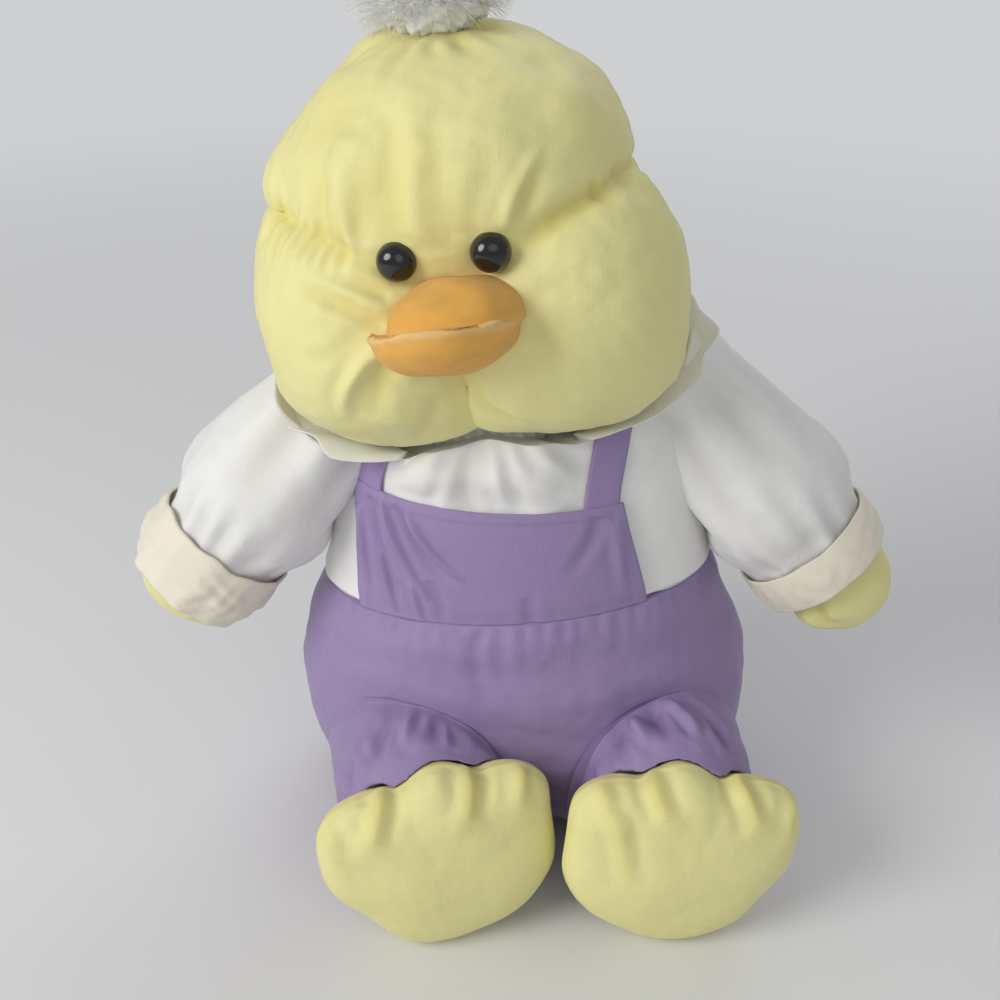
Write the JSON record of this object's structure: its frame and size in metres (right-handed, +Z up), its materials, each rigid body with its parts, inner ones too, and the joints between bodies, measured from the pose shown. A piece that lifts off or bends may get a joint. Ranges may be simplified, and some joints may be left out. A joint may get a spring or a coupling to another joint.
{
  "type": "plush chick",
  "caption": "Seated plush chick in bib overalls and a white shirt, with a turning head and swinging arms and legs.",
  "frame": {"origin": "on the table under the middle of the seat", "axes": "+Z up through the head, -Y the way the chick faces, +X to the chick's own left"},
  "size_m": [0.3272, 0.1959, 0.383],
  "materials": {
    "yellow_cloth": "smooth woven nylon with a soft sheen, pale lemon yellow",
    "eye_plastic": "polished black",
    "washer_plastic": "moulded natural nylon",
    "beak_velour": "short-pile orange velour",
    "white_fur": "long fluffy white fur",
    "shirt_cloth": "smooth woven nylon, white",
    "cuff_cloth": "smooth woven nylon, cream",
    "collar_cloth": "sheer white nylon",
    "overalls_cloth": "smooth woven nylon, lavender purple"
  },
  "bodies": {
    "body": {"shirt_torso": "shirt_cloth", "trousers_seat": "overalls_cloth", "bib": "overalls_cloth", "strap_left": "overalls_cloth", "strap_right": "overalls_cloth", "collar_left": "collar_cloth", "collar_right": "collar_cloth"},
    "head": {"head_crown": "yellow_cloth", "head_cheek_left": "yellow_cloth", "head_cheek_right": "yellow_cloth", "head_nape": "yellow_cloth", "eye_left": "eye_plastic", "eye_right": "eye_plastic", "eye_washer_left": "washer_plastic", "eye_washer_right": "washer_plastic", "beak_upper": "beak_velour", "beak_lower": "beak_velour", "fur_tuft": "white_fur"},
    "arm_left": {"sleeve_left": "shirt_cloth", "cuff_left": "cuff_cloth", "hand_left": "yellow_cloth"},
    "arm_right": {"sleeve_right": "shirt_cloth", "cuff_right": "cuff_cloth", "hand_right": "yellow_cloth"},
    "leg_left": {"trouser_leg_left": "overalls_cloth", "foot_left": "yellow_cloth"},
    "leg_right": {"trouser_leg_right": "overalls_cloth", "foot_right": "yellow_cloth"}
  },
  "joints": [
    {"name": "neck_turn", "type": "hinge", "parent": "body", "child": "head", "pos_m": [-0.026, -0.012, 0.265], "axis": [-0.128, 0.0348, 0.9912], "range_deg": [-15, 15]},
    {"name": "shoulder_left_swing", "type": "hinge", "parent": "body", "child": "arm_left", "pos_m": [0.05956, 0, 0.203], "axis": [1, 0, 0], "range_deg": [-20, 20]},
    {"name": "shoulder_right_swing", "type": "hinge", "parent": "body", "child": "arm_right", "pos_m": [-0.07444, 0, 0.203], "axis": [1, 0, 0], "range_deg": [-20, 20]},
    {"name": "hip_left_lift", "type": "hinge", "parent": "body", "child": "leg_left", "pos_m": [0.053, -0.03, 0.043], "axis": [-1, 0, 0], "range_deg": [-8, 7]},
    {"name": "hip_right_lift", "type": "hinge", "parent": "body", "child": "leg_right", "pos_m": [-0.053, -0.03, 0.043], "axis": [-1, 0, 0], "range_deg": [-8, 7]}
  ]
}
